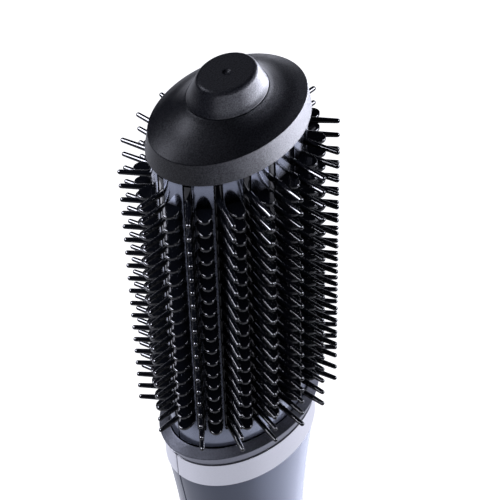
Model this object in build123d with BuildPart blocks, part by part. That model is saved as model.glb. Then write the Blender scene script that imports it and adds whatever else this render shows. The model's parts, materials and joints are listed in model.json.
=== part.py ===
from build123d import *
import os
from math import atan2, cos, exp, hypot, pi, radians, sin, sqrt

# Hot air brush: an oval, pin-covered barrel with a cool tip, on a fan handle.
# Millimetres. +Z runs up the brush from the cord end to the cool tip. The origin is on that
# axis, half way along the grip. X is the oval's long axis and Y its short one. The front
# half, with the switches, is on the -Y side, and the housing seams lie at the two X ends.

os.makedirs("parts", exist_ok=True)
UPWARD = (Align.CENTER, Align.CENTER, Align.MIN)

# ---------------------------------------------------------------- driving dimensions
RING_BOTTOM = 105.0            # grip centre up to the trim ring's lower edge
BARREL_A, BARREL_B = 28.4, 19.1    # barrel oval, half width in X and in Y
PLATE_WALL = 0.9
SEAM_GAP = 0.4                 # dark line between the two halves of each shell
SHELL_WALL = 2.2
CLEAR = 0.3                    # gap that keeps neighbouring pieces apart

PLATE_BOTTOM = RING_BOTTOM + 9.0
BARREL_SHOW = RING_BOTTOM + 20.0   # lowest height at which the barrel is in the open
CAP_BOTTOM = RING_BOTTOM + 152.7
PLATE_TOP = CAP_BOTTOM - 0.1

COLUMNS = 16                   # columns of pins, with a column of tongues after each
PIN_ROWS = 19
ROW_PITCH = 6.24
FIRST_ROW = RING_BOTTOM + 31.7
TIP_A, TIP_B = 36.9, 32.3      # oval through the tips of the pins
PIN_ROOT_R, PIN_TIP_R = 1.08, 0.8
PIN_FOOT = 1.0                 # pin length sunk below the barrel's surface
PIN_LEAN = 11.0                # degrees that a pin leans from square, at most
TONGUE_END_OUT, TONGUE_SIDE_OUT = 5.2, 6.2    # tongue length at the oval's X ends and at its flat sides
TONGUE_WIDTH, TONGUE_THICK, TONGUE_NOSE = 5.2, 1.3, 3.8

STRIP_BOTTOM = BARREL_SHOW + 5.5
STRIP_TOP = CAP_BOTTOM - 2.0
STRIP_FACE = -0.25             # rib's outer face, below the barrel's surface
STRIP_BACK = -3.2              # back of the strip, below the barrel's surface
RIB_WIDTH = 2.2
SLOT_WIDTH = 2.8

CORE_A, CORE_B = BARREL_A - 3.7, BARREL_B - 3.7
CORE_WALL = 1.6

HANDLE_DEPTH = 178.0           # ring down to the filter cover
HANDLE_SECTIONS = 11
HANDLE_BOTTOM = RING_BOTTOM - HANDLE_DEPTH
COVER_LENGTH = 37.0
COVER_TRAVEL = 30.0
TAIL = HANDLE_BOTTOM - COVER_LENGTH

CORD_R = 3.5                   # cord bore in the swivel
SWIVEL_R = 6.5
SHAFT_R = 1.5
BUSH_FIT = 0.03                # radial running clearance on the fan shaft
DUCT_R = 14.8


def handle_oval(depth):
    """Half widths of the handle in X and in Y, at a depth below the ring."""
    shoulder = exp(-(depth / 48.0) ** 1.17)
    flare = (depth / HANDLE_DEPTH) ** 4
    return 22.0 + 7.6 * shoulder + 0.8 * flare, 17.6 + 3.8 * shoulder + 1.8 * flare


def finish(part, name):
    """Label one sub-part and write it."""
    part.label = name
    export_step(part, f"parts/{name}.step")


# ---------------------------------------------------------------- barrel layout
def oval_table(steps=4000):
    """Angles and running lengths round the barrel's oval."""
    angles = [2 * pi * i / steps for i in range(steps + 1)]
    lengths = [0.0]
    for a0, a1 in zip(angles, angles[1:]):
        dx = BARREL_A * (cos(a1) - cos(a0))
        dy = BARREL_B * (sin(a1) - sin(a0))
        lengths.append(lengths[-1] + hypot(dx, dy))
    return angles, lengths


OVAL_ANGLES, OVAL_LENGTHS = oval_table()


def column(k, inset=0.0):
    """Point on the barrel at column k, moved along the surface's normal, and that normal's angle."""
    want = (k % COLUMNS) / COLUMNS * OVAL_LENGTHS[-1]
    i = max(j for j, length in enumerate(OVAL_LENGTHS[:-1]) if length <= want)
    part_way = (want - OVAL_LENGTHS[i]) / (OVAL_LENGTHS[i + 1] - OVAL_LENGTHS[i])
    t = OVAL_ANGLES[i] + part_way * (OVAL_ANGLES[i + 1] - OVAL_ANGLES[i])
    normal = atan2(sin(t) / BARREL_B, cos(t) / BARREL_A)
    x = BARREL_A * cos(t) + inset * cos(normal)
    y = BARREL_B * sin(t) + inset * sin(normal)
    return x, y, normal


def square_to(k, z, inset=0.0):
    """Plane at column k whose x runs out of the barrel and whose z is up."""
    x, y, normal = column(k, inset)
    return Plane(origin=(x, y, z), x_dir=(cos(normal), sin(normal), 0), z_dir=(0, 0, 1))


def pin_reach(x, y, angle):
    """Distance from (x, y) along the angle to the oval through the pin tips."""
    c, s = cos(angle), sin(angle)
    qa = (c / TIP_A) ** 2 + (s / TIP_B) ** 2
    qb = 2 * (x * c / TIP_A ** 2 + y * s / TIP_B ** 2)
    qc = (x / TIP_A) ** 2 + (y / TIP_B) ** 2 - 1
    return (-qb + sqrt(qb * qb - 4 * qa * qc)) / (2 * qa)


PIN_HEIGHTS = [FIRST_ROW + i * ROW_PITCH for i in range(PIN_ROWS)]
TONGUE_HEIGHTS = [h + ROW_PITCH / 2 for h in PIN_HEIGHTS[:-1]]


# ---------------------------------------------------------------- bristle strips
TONGUE_ROOT = 2.0              # tongue length sunk below the barrel's surface
RIB_DEPTH = 2.0
for k in range(COLUMNS):
    x, y, normal = column(k)
    lean = normal + radians(PIN_LEAN) * sin(2 * normal)
    reach = pin_reach(x, y, lean)
    out = Vector(cos(lean), sin(lean), 0)
    root = Vector(x, y, 0) - out * PIN_FOOT
    pin_feet = [Plane(origin=root + Vector(0, 0, h), z_dir=out) for h in PIN_HEIGHTS]
    pin_ends = [Vector(x, y, h) + out * (reach - PIN_TIP_R) for h in PIN_HEIGHTS]
    side_share = sin(column(k + 0.5)[2]) ** 4
    tongue_out = TONGUE_END_OUT + (TONGUE_SIDE_OUT - TONGUE_END_OUT) * side_share
    shank = tongue_out - TONGUE_NOSE
    with BuildPart() as bristle_strip:
        with BuildSketch(Plane.XY.offset(STRIP_BOTTOM)):
            with BuildLine():
                steps = (-0.15, 0.0, 0.25, 0.5, 0.66)
                front = Spline(*[column(k + u, -PLATE_WALL - CLEAR)[:2] for u in steps])
                back = Spline(*[column(k + u, STRIP_BACK)[:2] for u in reversed(steps)])
                Line(front @ 1, back @ 0)
                Line(back @ 1, front @ 0)
            make_face()
        extrude(amount=STRIP_TOP - STRIP_BOTTOM)
        with BuildSketch(square_to(k, STRIP_BOTTOM)):
            with Locations(((STRIP_FACE - RIB_DEPTH) / 2, 0)):
                Rectangle(RIB_DEPTH + STRIP_FACE, RIB_WIDTH)
        extrude(amount=STRIP_TOP - STRIP_BOTTOM)
        with Locations(*pin_feet):
            Cone(PIN_ROOT_R, PIN_TIP_R, reach + PIN_FOOT - PIN_TIP_R, align=UPWARD)
        with Locations(*pin_ends):
            Sphere(PIN_TIP_R)
        with BuildSketch(*[square_to(k + 0.5, h - TONGUE_THICK / 2) for h in TONGUE_HEIGHTS]):
            with Locations(((shank - TONGUE_ROOT) / 2, 0)):
                Rectangle(shank + TONGUE_ROOT, TONGUE_WIDTH)
            with Locations((shank, 0)):
                Ellipse(TONGUE_NOSE, TONGUE_WIDTH / 2)
        extrude(amount=TONGUE_THICK)
    finish(bristle_strip.part, f"bristle_strip_{k + 1:02d}")


# ---------------------------------------------------------------- barrel plates
AIR_HOLE_R = 0.85
HOLE_SHIFT = 0.73              # air holes sit this share of a column's pitch after it
CUT_DEPTH = 4.0
WINDOW_GAP = 0.6
SLOT_BOTTOM = BARREL_SHOW + 4.5
for name, side, first in (("barrel_plate_rear", 1, 0), ("barrel_plate_front", -1, COLUMNS // 2)):
    slot_columns = [first + i for i in range(COLUMNS // 2 + 1)]
    gap_columns = [first + i for i in range(COLUMNS // 2)]
    slot_height = PLATE_TOP + 1.0 - SLOT_BOTTOM
    slots = [square_to(k, SLOT_BOTTOM + slot_height / 2) for k in slot_columns]
    windows = [square_to(k + 0.5, h) for k in gap_columns for h in TONGUE_HEIGHTS]
    air_holes = []
    for k in gap_columns:
        x, y, normal = column(k + HOLE_SHIFT)
        for h in PIN_HEIGHTS[1:-1:2]:
            air_holes.append(Plane(origin=(x, y, h), z_dir=(cos(normal), sin(normal), 0)))
    with BuildPart() as barrel_plate:
        with BuildSketch(Plane.XY.offset(PLATE_BOTTOM)):
            Ellipse(BARREL_A, BARREL_B)
            Ellipse(BARREL_A - PLATE_WALL, BARREL_B - PLATE_WALL, mode=Mode.SUBTRACT)
            with Locations((0, side * SEAM_GAP / 2 - side * BARREL_B)):
                Rectangle(2 * BARREL_A + 2, 2 * BARREL_B, mode=Mode.SUBTRACT)
        extrude(amount=PLATE_TOP - PLATE_BOTTOM)
        with Locations(*slots):
            Box(CUT_DEPTH, SLOT_WIDTH, slot_height, mode=Mode.SUBTRACT)
        with Locations(*windows):
            Box(CUT_DEPTH, TONGUE_WIDTH + WINDOW_GAP, TONGUE_THICK + WINDOW_GAP, mode=Mode.SUBTRACT)
        with Locations(*air_holes):
            Cylinder(AIR_HOLE_R, CUT_DEPTH, mode=Mode.SUBTRACT)
    finish(barrel_plate.part, name)


# ---------------------------------------------------------------- air core inside the barrel
CORE_BOTTOM = PLATE_BOTTOM + 1.0
CORE_TOP = CAP_BOTTOM + 1.0
PORT_ROWS = 6
port_span = (STRIP_TOP - STRIP_BOTTOM) / PORT_ROWS
port_heights = [STRIP_BOTTOM + port_span * (i + 0.5) for i in range(PORT_ROWS)]
with BuildPart() as air_core:
    with BuildSketch(Plane.XY.offset(CORE_BOTTOM)):
        Ellipse(CORE_A, CORE_B)
        Ellipse(CORE_A - CORE_WALL, CORE_B - CORE_WALL, mode=Mode.SUBTRACT)
    extrude(amount=CORE_TOP - CORE_BOTTOM)
    ports = [square_to(k + HOLE_SHIFT, h, CORE_A - BARREL_A) for k in range(COLUMNS) for h in port_heights]
    with Locations(*ports):
        Box(6, 2.4, port_span - 4, mode=Mode.SUBTRACT)
    with BuildSketch(Plane.XY.offset(CORE_TOP)):
        Ellipse(CORE_A, CORE_B)
        Circle(2.0, mode=Mode.SUBTRACT)
    extrude(amount=1.8)
finish(air_core.part, "air_core")


# ---------------------------------------------------------------- end cap and cool tip
CAP_A, CAP_B = 29.1, 20.8      # cap's skirt, half width in X and in Y at its lower edge
CAP_WALL = 1.8
CAP_BAND = 7.9
# Dome outline above the band: height above the band's top edge, half width in X, in Y.
DOME_OVALS = ((0.0, 28.1, 19.3), (1.8, 24.2, 17.1), (3.8, 19.4, 14.3), (5.7, 16.0, 12.4), (7.3, 13.9, 11.2))
BAND_TOP = CAP_BOTTOM + CAP_BAND
KNOB_BOTTOM = BAND_TOP + DOME_OVALS[-1][0]
KNOB_OVALS = ((0.25, 13.7, 11.0), (1.7, 12.9, 10.2), (4.2, 11.8, 9.2), (6.9, 10.5, 8.1), (8.0, 8.8, 6.6))
STEM_R = 3.0
with BuildPart() as end_cap:
    with BuildSketch(Plane.XY.offset(CAP_BOTTOM)):
        Ellipse(CAP_A, CAP_B)
    with BuildSketch(Plane.XY.offset(BAND_TOP)):
        Ellipse(DOME_OVALS[0][1], DOME_OVALS[0][2])
    loft()
    for height, a, b in DOME_OVALS:
        with BuildSketch(Plane.XY.offset(BAND_TOP + height)):
            Ellipse(a, b)
    loft()
    with BuildSketch(Plane.XY.offset(CAP_BOTTOM)):
        Ellipse(CAP_A - CAP_WALL - 0.4, CAP_B - CAP_WALL - 1.0)
    extrude(amount=CAP_BAND - CAP_WALL, mode=Mode.SUBTRACT)
    with BuildSketch(Plane.XY.offset(CAP_BOTTOM - 1.7)):
        Ellipse(BARREL_A - PLATE_WALL - 0.1, BARREL_B - PLATE_WALL - 0.1)
        Ellipse(CORE_A + 0.2, CORE_B + 0.2, mode=Mode.SUBTRACT)
    extrude(amount=2.7)
    for height, a, b in DOME_OVALS[1:]:
        with BuildSketch(Plane.XY.offset(BAND_TOP + height - 2 * CAP_WALL)):
            Ellipse(a - CAP_WALL, b - CAP_WALL)
    loft(mode=Mode.SUBTRACT)
    with Locations((0, 0, CORE_TOP + 1.8 + CLEAR / 3)):
        Cylinder(STEM_R + 1.6, KNOB_BOTTOM - CORE_TOP - 2.4, align=UPWARD)
    with Locations((0, 0, CORE_TOP)):
        Cylinder(STEM_R + 0.1, 30, align=UPWARD, mode=Mode.SUBTRACT)
finish(end_cap.part, "end_cap")

with BuildPart() as cool_tip:
    for height, a, b in KNOB_OVALS:
        with BuildSketch(Plane.XY.offset(KNOB_BOTTOM + height)):
            Ellipse(a, b)
    loft()
    with Locations((0, 0, KNOB_BOTTOM + KNOB_OVALS[-1][0] + 0.9)):
        Sphere(1.6, mode=Mode.SUBTRACT)
    stem_bottom = CORE_TOP + 2.4
    with Locations((0, 0, stem_bottom)):
        Cylinder(STEM_R, KNOB_BOTTOM + 1 - stem_bottom, align=UPWARD)
    with Locations((0, 0, stem_bottom)):
        Cylinder(1.1, 9, align=UPWARD, mode=Mode.SUBTRACT)
finish(cool_tip.part, "cool_tip")

with BuildPart() as tip_screw:
    head_top = CORE_TOP - 0.1
    with Locations((0, 0, head_top)):
        Cylinder(1.05, 10, align=UPWARD)
        Cylinder(3.0, 2.0, align=(Align.CENTER, Align.CENTER, Align.MAX))
    with Locations((0, 0, head_top - 2.0)):
        Box(3.6, 0.8, 1.6, mode=Mode.SUBTRACT)
        Box(0.8, 3.6, 1.6, mode=Mode.SUBTRACT)
finish(tip_screw.part, "tip_screw")


# ---------------------------------------------------------------- collar and trim ring
RING_TOP = RING_BOTTOM + 12.35
RING_WALL = 2.4
COLLAR_A, COLLAR_B = 32.4, 22.4
COLLAR_MOUTH_A, COLLAR_MOUTH_B = 28.9, 19.6
COLLAR_FOOT_A, COLLAR_FOOT_B = 30.3, 21.2    # where the collar meets the ring
COLLAR_EDGE = RING_BOTTOM + 17.7
COLLAR_MOUTH = RING_BOTTOM + 20.0
with BuildPart() as barrel_collar:
    with BuildSketch(Plane.XY.offset(RING_TOP + 0.4)):
        Ellipse(COLLAR_FOOT_A, COLLAR_FOOT_B)
    with BuildSketch(Plane.XY.offset(COLLAR_EDGE)):
        Ellipse(COLLAR_A, COLLAR_B)
    loft()
    with BuildSketch(Plane.XY.offset(COLLAR_EDGE)):
        Ellipse(COLLAR_A, COLLAR_B)
    with BuildSketch(Plane.XY.offset(COLLAR_MOUTH)):
        Ellipse(COLLAR_MOUTH_A, COLLAR_MOUTH_B)
    loft()
    with BuildSketch(Plane.XY.offset(COLLAR_MOUTH)):
        Ellipse(COLLAR_MOUTH_A, COLLAR_MOUTH_B)
    extrude(amount=PLATE_BOTTOM - 1.5 - COLLAR_MOUTH)
    with BuildSketch(Plane.XY.offset(COLLAR_MOUTH)):
        Ellipse(BARREL_A + CLEAR, BARREL_B + CLEAR)
    extrude(amount=-4.0, mode=Mode.SUBTRACT)
    with BuildSketch(Plane.XY.offset(COLLAR_MOUTH)):
        Ellipse(BARREL_A + 0.1, BARREL_B + 0.1)
    extrude(amount=PLATE_BOTTOM - 0.1 - COLLAR_MOUTH, mode=Mode.SUBTRACT)
    with BuildSketch(Plane.XY.offset(COLLAR_MOUTH)):
        Ellipse(CORE_A - CORE_WALL, CORE_B - CORE_WALL)
    extrude(amount=-30, mode=Mode.SUBTRACT)
finish(barrel_collar.part, "barrel_collar")

RING_A, RING_B = 30.5, 21.5
for name, side in (("trim_ring_rear", 1), ("trim_ring_front", -1)):
    with BuildPart() as trim_ring:
        with BuildSketch(Plane.XY.offset(RING_BOTTOM + 0.3)):
            Ellipse(RING_A - 0.3, RING_B + 0.4)
        with BuildSketch(Plane.XY.offset(RING_TOP)):
            Ellipse(RING_A, RING_B)
        loft()
        with BuildSketch(Plane.XY.offset(RING_BOTTOM + 0.3)):
            Ellipse(RING_A - RING_WALL, RING_B - RING_WALL)
        extrude(amount=PLATE_BOTTOM - 1.8 - RING_BOTTOM - 0.3, mode=Mode.SUBTRACT)
        with BuildSketch(Plane.XY.offset(PLATE_BOTTOM - 1.8)):
            Ellipse(COLLAR_MOUTH_A + 0.1, COLLAR_MOUTH_B + 0.1)
        extrude(amount=20, mode=Mode.SUBTRACT)
        with Locations((0, -side * RING_B + side * SEAM_GAP / 2, RING_BOTTOM + 6)):
            Box(2 * RING_A + 2, 2 * RING_B, 20, mode=Mode.SUBTRACT)
    finish(trim_ring.part, name)


# ---------------------------------------------------------------- handle shells
SWITCH_Z = RING_BOTTOM - 100.0
BUTTON_Z = RING_BOTTOM - 72.0
SWITCH_TRAVEL = 8.0
SWITCH_WIDTH, SWITCH_LENGTH = 6.0, 14.0
BUTTON_TRAVEL = 1.2
BUTTON_R = 4.2
LAMP_Z = RING_BOTTOM - 121.0
LAMP_R = 1.1
COVER_A, COVER_B = handle_oval(HANDLE_DEPTH)
SPIGOT_A, SPIGOT_B = COVER_A - 1.7, COVER_B - 1.7
SPIGOT_WALL = 2.3
# Screws: height, offset in X, boss end from the seam plane, seat of the head from it.
SCREW_SPOTS = (
    (RING_BOTTOM - 30.0, 19.0, 12.0, 9.0), (RING_BOTTOM - 30.0, -19.0, 12.0, 9.0),
    (RING_BOTTOM - 119.0, 17.6, 8.8, 6.4), (RING_BOTTOM - 119.0, -17.6, 8.8, 6.4),
)
BOSS_R, SCREW_R, HEAD_R = 2.4, 1.0, 2.2


section_depths = [HANDLE_DEPTH * i / (HANDLE_SECTIONS - 1) for i in range(HANDLE_SECTIONS)]
for name, side in (("handle_rear", 1), ("handle_front", -1)):
    with BuildPart() as handle:
        for depth in section_depths:
            a, b = handle_oval(depth)
            with BuildSketch(Plane.XY.offset(RING_BOTTOM - depth)):
                Ellipse(a, b)
        loft()
        for depth in section_depths:
            a, b = handle_oval(depth)
            with BuildSketch(Plane.XY.offset(RING_BOTTOM - depth)):
                Ellipse(a - SHELL_WALL, b - SHELL_WALL)
        loft(mode=Mode.SUBTRACT)
        with Locations((0, -side * 30 + side * SEAM_GAP / 2, RING_BOTTOM - HANDLE_DEPTH / 2)):
            Box(80, 60, HANDLE_DEPTH + 20, mode=Mode.SUBTRACT)
        with BuildSketch(Plane.XY.offset(HANDLE_BOTTOM + 6.0)):
            with Locations((0, side * (25 + SEAM_GAP / 2))):
                Rectangle(100, 50)
            Ellipse(SPIGOT_A, SPIGOT_B, mode=Mode.INTERSECT)
            Ellipse(SPIGOT_A - SPIGOT_WALL, SPIGOT_B - SPIGOT_WALL, mode=Mode.SUBTRACT)
        extrude(amount=-12.0)
        for z, x, boss_end, head_seat in SCREW_SPOTS:
            with Locations(Plane(origin=(x, side * CLEAR, z), z_dir=(0, side, 0))):
                Cylinder(BOSS_R, boss_end - CLEAR, align=UPWARD)
                if side > 0:
                    Cylinder(SCREW_R + 0.3, 40, align=UPWARD, mode=Mode.SUBTRACT)
                else:
                    Cylinder(SCREW_R, 8, align=UPWARD, mode=Mode.SUBTRACT)
            if side > 0:
                with Locations(Plane(origin=(x, head_seat, z), z_dir=(0, 1, 0))):
                    Cylinder(HEAD_R + 0.3, 20, align=UPWARD, mode=Mode.SUBTRACT)
        if side < 0:
            with Locations((0, -20, SWITCH_Z)):
                Box(SWITCH_WIDTH + 2 * CLEAR, 20, SWITCH_LENGTH + SWITCH_TRAVEL + 2.0, mode=Mode.SUBTRACT)
            with Locations(Plane(origin=(0, 0, BUTTON_Z), z_dir=(0, -1, 0))):
                Cylinder(BUTTON_R + CLEAR, 30, align=UPWARD, mode=Mode.SUBTRACT)
            with Locations(Plane(origin=(0, 0, LAMP_Z), z_dir=(0, -1, 0))):
                Cylinder(LAMP_R + 0.1, 30, align=UPWARD, mode=Mode.SUBTRACT)
    finish(handle.part, name)

with BuildPart() as handle_screws:
    for z, x, boss_end, head_seat in SCREW_SPOTS:
        with Locations(Plane(origin=(x, head_seat, z), z_dir=(0, -1, 0))):
            Cylinder(SCREW_R, head_seat + 7.0, align=UPWARD)
        with Locations(Plane(origin=(x, head_seat, z), z_dir=(0, 1, 0))):
            Cylinder(HEAD_R, 1.6, align=UPWARD)
        with Locations((x, head_seat + 1.6, z)):
            Box(2.6, 1.6, 0.6, mode=Mode.SUBTRACT)
            Box(0.6, 1.6, 2.6, mode=Mode.SUBTRACT)
finish(handle_screws.part, "handle_screws")

with BuildPart() as neck_sleeve:
    with BuildSketch(Plane.XY.offset(RING_BOTTOM - 15.0)):
        Ellipse(25.3, 17.0)
    extrude(amount=PLATE_BOTTOM - 1.6 - RING_BOTTOM + 15.0)
    with BuildSketch(Plane.XY.offset(RING_BOTTOM + 4.0)):
        Ellipse(RING_A - RING_WALL - CLEAR, RING_B - RING_WALL - CLEAR)
    extrude(amount=2.0)
    with BuildSketch(Plane.XY.offset(RING_BOTTOM - 15.0)):
        Ellipse(23.7, 15.4)
    extrude(amount=40, mode=Mode.SUBTRACT)
finish(neck_sleeve.part, "neck_sleeve")


# ---------------------------------------------------------------- heater
HEATER_BOTTOM = RING_BOTTOM - 52.0
HEATER_LENGTH = 57.0
HEATER_R = 14.4
BOARD_HALF = 11.4
WIRE_R = 0.35
COIL_TURNS = 16
with BuildPart() as heater_sleeve:
    with BuildSketch(Plane.XY.offset(HEATER_BOTTOM)):
        Circle(HEATER_R)
        Circle(HEATER_R - 0.6, mode=Mode.SUBTRACT)
    extrude(amount=HEATER_LENGTH)
finish(heater_sleeve.part, "heater_sleeve")

with BuildPart() as mica_cross:
    with Locations((0, 0, HEATER_BOTTOM + HEATER_LENGTH / 2)):
        Box(2 * BOARD_HALF, 0.8, HEATER_LENGTH - 4)
        Box(0.8, 2 * BOARD_HALF, HEATER_LENGTH - 4)
finish(mica_cross.part, "mica_cross")

coil_pitch = (HEATER_LENGTH - 10) / (COIL_TURNS - 1)
with BuildPart() as heating_coils:
    with Locations(*[(0, 0, HEATER_BOTTOM + 5 + i * coil_pitch) for i in range(COIL_TURNS)]):
        Torus(BOARD_HALF + WIRE_R + 0.05, WIRE_R)
finish(heating_coils.part, "heating_coils")

with BuildPart() as thermostat:
    with Locations((4.2, 4.2, HEATER_BOTTOM + 12)):
        Box(6, 6, 9)
    with Locations((4.2, 4.2, HEATER_BOTTOM + 17)):
        Cylinder(2.4, 2.4)
finish(thermostat.part, "thermostat")

with BuildPart() as thermal_fuse:
    with Locations((-4.0, 4.0, HEATER_BOTTOM + 14)):
        Cylinder(1.6, 9)
        Cylinder(0.4, 18)
finish(thermal_fuse.part, "thermal_fuse")

with BuildPart() as heater_seats:
    for z, a, b in ((HEATER_BOTTOM + 2, 22.2, 15.4), (RING_BOTTOM - 8.0, 23.4, 15.2)):
        with BuildSketch(Plane.XY.offset(z)):
            Ellipse(a, b)
            Circle(HEATER_R + 0.1, mode=Mode.SUBTRACT)
        extrude(amount=2.5)
finish(heater_seats.part, "heater_seats")


# ---------------------------------------------------------------- controls
BOARD_FRONT = -9.0
BOARD_TOP, BOARD_BOTTOM = RING_BOTTOM - 58.0, RING_BOTTOM - 112.0
PAD_FACE = -(handle_oval(100)[1] + 1.7)
with BuildPart() as control_board:
    with Locations((0, BOARD_FRONT + 0.8, (BOARD_TOP + BOARD_BOTTOM) / 2)):
        Box(28, 1.6, BOARD_TOP - BOARD_BOTTOM)
finish(control_board.part, "control_board")

with BuildPart() as board_parts:
    board_back = BOARD_FRONT + 1.6
    for x, z, width, depth, height in (
        (-6, BOARD_TOP - 9, 12, 7, 12), (8, BOARD_TOP - 10, 8, 5, 10),
        (7, BOARD_BOTTOM + 10, 10, 9, 12), (-6, BOARD_TOP - 26, 9, 4, 12),
    ):
        with Locations((x, board_back, z)):
            Box(width, depth, height, align=(Align.CENTER, Align.MIN, Align.CENTER))
    with Locations(Plane(origin=(-7, board_back, BOARD_BOTTOM + 9), z_dir=(0, 1, 0))):
        Cylinder(4.5, 11, align=UPWARD)
    with Locations((0, BOARD_FRONT, SWITCH_Z)):
        Box(9, 2.6, 22, align=(Align.CENTER, Align.MAX, Align.CENTER))
finish(board_parts.part, "board_parts")

# The switch rests at the bottom of its slot, off, and slides up through two heat settings.
switch_rest = SWITCH_Z - SWITCH_TRAVEL / 2
with BuildPart() as heat_switch:
    with Locations((0, PAD_FACE, switch_rest)):
        Box(SWITCH_WIDTH, 6.3, SWITCH_LENGTH, align=(Align.CENTER, Align.MIN, Align.CENTER))
    with Locations(*[(0, PAD_FACE, switch_rest + (i - 2) * 2.2) for i in range(5)]):
        Box(SWITCH_WIDTH + 1, 1.0, 0.8, mode=Mode.SUBTRACT)
    with Locations((0, -13.2, switch_rest)):
        Box(11, 1.2, SWITCH_LENGTH + 3, align=(Align.CENTER, Align.MIN, Align.CENTER))
finish(heat_switch.part, "heat_switch")

BUTTON_FACE = -(handle_oval(72)[1] + BUTTON_TRAVEL + 0.3)
FLANGE_BACK = -12.8
with BuildPart() as cool_button:
    with Locations(Plane(origin=(0, FLANGE_BACK, BUTTON_Z), z_dir=(0, -1, 0))):
        Cylinder(BUTTON_R, FLANGE_BACK - BUTTON_FACE, align=UPWARD)
        Cylinder(BUTTON_R + 1.3, 1.0, align=UPWARD)
    fillet(cool_button.faces().sort_by(Axis.Y)[0].edges(), 0.6)
finish(cool_button.part, "cool_button")

SPRING_R, SPRING_WIRE_R = 2.9, 0.3
spring_length = BOARD_FRONT - FLANGE_BACK - 2 * SPRING_WIRE_R - 0.1
with BuildPart() as button_spring:
    with BuildLine():
        spring_start = (0, FLANGE_BACK + SPRING_WIRE_R + 0.05, BUTTON_Z)
        wire_path = Helix(
            spring_length / 3, spring_length, SPRING_R, center=spring_start, direction=(0, 1, 0)
        )
    with BuildSketch(Plane(origin=wire_path @ 0, z_dir=wire_path % 0)):
        Circle(SPRING_WIRE_R)
    sweep(is_frenet=True)
finish(button_spring.part, "button_spring")

with BuildPart() as status_lamp:
    with Locations(Plane(origin=(0, BOARD_FRONT - 2.0, LAMP_Z), z_dir=(0, -1, 0))):
        Cylinder(LAMP_R, handle_oval(121)[1] + BOARD_FRONT + 2.3, align=UPWARD)
finish(status_lamp.part, "status_lamp")


# ---------------------------------------------------------------- fan
DUCT_BOTTOM, DUCT_TOP = HANDLE_BOTTOM + 5.0, HANDLE_BOTTOM + 49.0
MOTOR_BOTTOM, MOTOR_TOP = DUCT_BOTTOM + 11.0, DUCT_BOTTOM + 36.0
MOTOR_R = 9.0
BLADES = 9
with BuildPart() as fan_duct:
    with BuildSketch(Plane.XY.offset(DUCT_BOTTOM)):
        Circle(DUCT_R)
        Circle(DUCT_R - 1.0, mode=Mode.SUBTRACT)
    extrude(amount=DUCT_TOP - DUCT_BOTTOM)
finish(fan_duct.part, "fan_duct")

with BuildPart() as fan_mounts:
    for z, a, b in ((DUCT_BOTTOM + 8, 20.4, 16.2), (DUCT_TOP - 10, 19.9, 15.3)):
        with BuildSketch(Plane.XY.offset(z)):
            Ellipse(a, b)
            Circle(DUCT_R + 0.05, mode=Mode.SUBTRACT)
        extrude(amount=3.0)
finish(fan_mounts.part, "fan_mounts")

with BuildPart() as fan_stator:
    with BuildSketch(Plane.XY.offset(MOTOR_BOTTOM - 1)):
        Circle(MOTOR_R + 1.05)
        Circle(MOTOR_R + 0.05, mode=Mode.SUBTRACT)
    extrude(amount=MOTOR_TOP - MOTOR_BOTTOM + 2)
    with BuildSketch(Plane.XY.offset(MOTOR_TOP - 14)):
        with PolarLocations(MOTOR_R + 0.9 + 1.9, 8):
            Rectangle(3.8, 1.0)
    extrude(amount=12)
finish(fan_stator.part, "fan_stator")

with BuildPart() as motor_can:
    with Locations((0, 0, MOTOR_BOTTOM)):
        Cylinder(MOTOR_R, MOTOR_TOP - MOTOR_BOTTOM, align=UPWARD)
        Cylinder(3.0, MOTOR_TOP - MOTOR_BOTTOM, align=UPWARD, mode=Mode.SUBTRACT)
finish(motor_can.part, "motor_can")

BUSH_LENGTH = 4.0
with BuildPart() as motor_bushes:
    for z in (MOTOR_BOTTOM, MOTOR_TOP - BUSH_LENGTH):
        with BuildSketch(Plane.XY.offset(z)):
            Circle(3.0)
            Circle(SHAFT_R + BUSH_FIT, mode=Mode.SUBTRACT)
        extrude(amount=BUSH_LENGTH)
finish(motor_bushes.part, "motor_bushes")

with BuildPart() as motor_shaft:
    with Locations((0, 0, DUCT_BOTTOM + 1)):
        Cylinder(SHAFT_R, MOTOR_TOP - 1 - DUCT_BOTTOM - 1, align=UPWARD)
finish(motor_shaft.part, "motor_shaft")

HUB_R, BLADE_TIP_R = 5.5, 13.3
with BuildPart() as impeller:
    with Locations((0, 0, DUCT_BOTTOM + 5.5)):
        Cylinder(HUB_R, 8)
        with PolarLocations((HUB_R + BLADE_TIP_R) / 2, BLADES):
            Box(BLADE_TIP_R - HUB_R + 2, 1.0, 9.0, rotation=(38, 0, 0))
        Cylinder(BLADE_TIP_R, 8, mode=Mode.INTERSECT)
        Cylinder(SHAFT_R, 12, mode=Mode.SUBTRACT)
finish(impeller.part, "impeller")


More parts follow.
